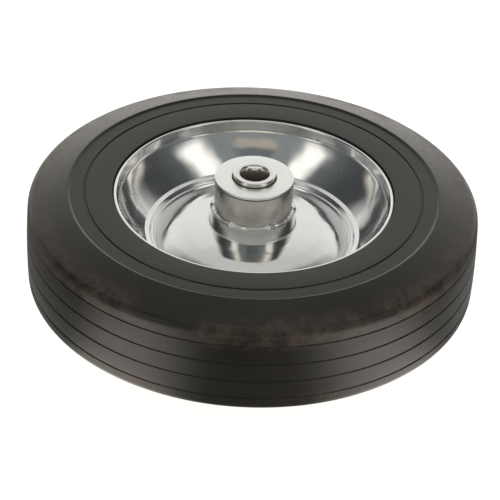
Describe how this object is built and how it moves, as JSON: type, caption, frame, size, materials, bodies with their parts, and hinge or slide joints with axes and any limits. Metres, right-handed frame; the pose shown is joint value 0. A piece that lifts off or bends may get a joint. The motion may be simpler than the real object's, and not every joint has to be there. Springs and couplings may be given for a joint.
{
  "type": "puncture-proof wheel",
  "caption": "Solid rubber wheel on a rim of pressed steel dishes, with a welded hub tube, ball bearings at both ends and a plain bore for an axle.",
  "frame": {"origin": "centre of the wheel, on its axle line halfway between the two ends of the hub", "axes": "+Z along the axle line, towards the front side that the picture shows; the wheel lies on its side"},
  "size_m": [0.2, 0.2, 0.0686],
  "materials": {
    "solid_rubber": "satin black rubber, dusty brown at the shoulders",
    "zinc_plated_rim": "bright zinc plate, mirror-like with small pits",
    "hub_steel": "satin grey plated tube",
    "weld_metal": "plated weld bead, uneven",
    "cover_zinc": "pale matt zinc plate",
    "cup_steel": "pressed steel, greased",
    "bright_steel": "polished turned steel",
    "spacer_steel": "plain steel tube",
    "ball_steel": "polished bearing balls, greased"
  },
  "bodies": {
    "wheel": {"tyre": "solid_rubber", "rim_front": "zinc_plated_rim", "rim_rear": "zinc_plated_rim", "hub_tube": "hub_steel", "weld_front": "weld_metal", "weld_rear": "weld_metal", "end_cover_front": "cover_zinc", "end_cover_rear": "cover_zinc", "bearing_cup_front": "cup_steel", "bearing_cup_rear": "cup_steel"},
    "axle_sleeve": {"axle_spacer": "spacer_steel", "bearing_cone_front": "bright_steel", "bearing_cone_rear": "bright_steel"},
    "ball_ring_front": {"ball_front_01": "ball_steel", "ball_front_02": "ball_steel", "ball_front_03": "ball_steel", "ball_front_04": "ball_steel", "ball_front_05": "ball_steel", "ball_front_06": "ball_steel", "ball_front_07": "ball_steel", "ball_front_08": "ball_steel", "ball_front_09": "ball_steel", "ball_front_10": "ball_steel"},
    "ball_ring_rear": {"ball_rear_01": "ball_steel", "ball_rear_02": "ball_steel", "ball_rear_03": "ball_steel", "ball_rear_04": "ball_steel", "ball_rear_05": "ball_steel", "ball_rear_06": "ball_steel", "ball_rear_07": "ball_steel", "ball_rear_08": "ball_steel", "ball_rear_09": "ball_steel", "ball_rear_10": "ball_steel"}
  },
  "joints": [
    {"name": "axle_turn", "type": "hinge", "parent": "wheel", "child": "axle_sleeve", "pos_m": [0, 0, 0], "axis": [0, 0, 1], "continuous": true},
    {"name": "ball_ring_front_turn", "type": "hinge", "parent": "wheel", "child": "ball_ring_front", "pos_m": [0, 0, 0], "axis": [0, 0, 1], "continuous": true},
    {"name": "ball_ring_rear_turn", "type": "hinge", "parent": "wheel", "child": "ball_ring_rear", "pos_m": [0, 0, 0], "axis": [0, 0, 1], "continuous": true}
  ],
  "couplings": [
    {"joint": "ball_ring_front_turn", "follows": "axle_turn", "ratio": 0.376},
    {"joint": "ball_ring_rear_turn", "follows": "axle_turn", "ratio": 0.376}
  ]
}
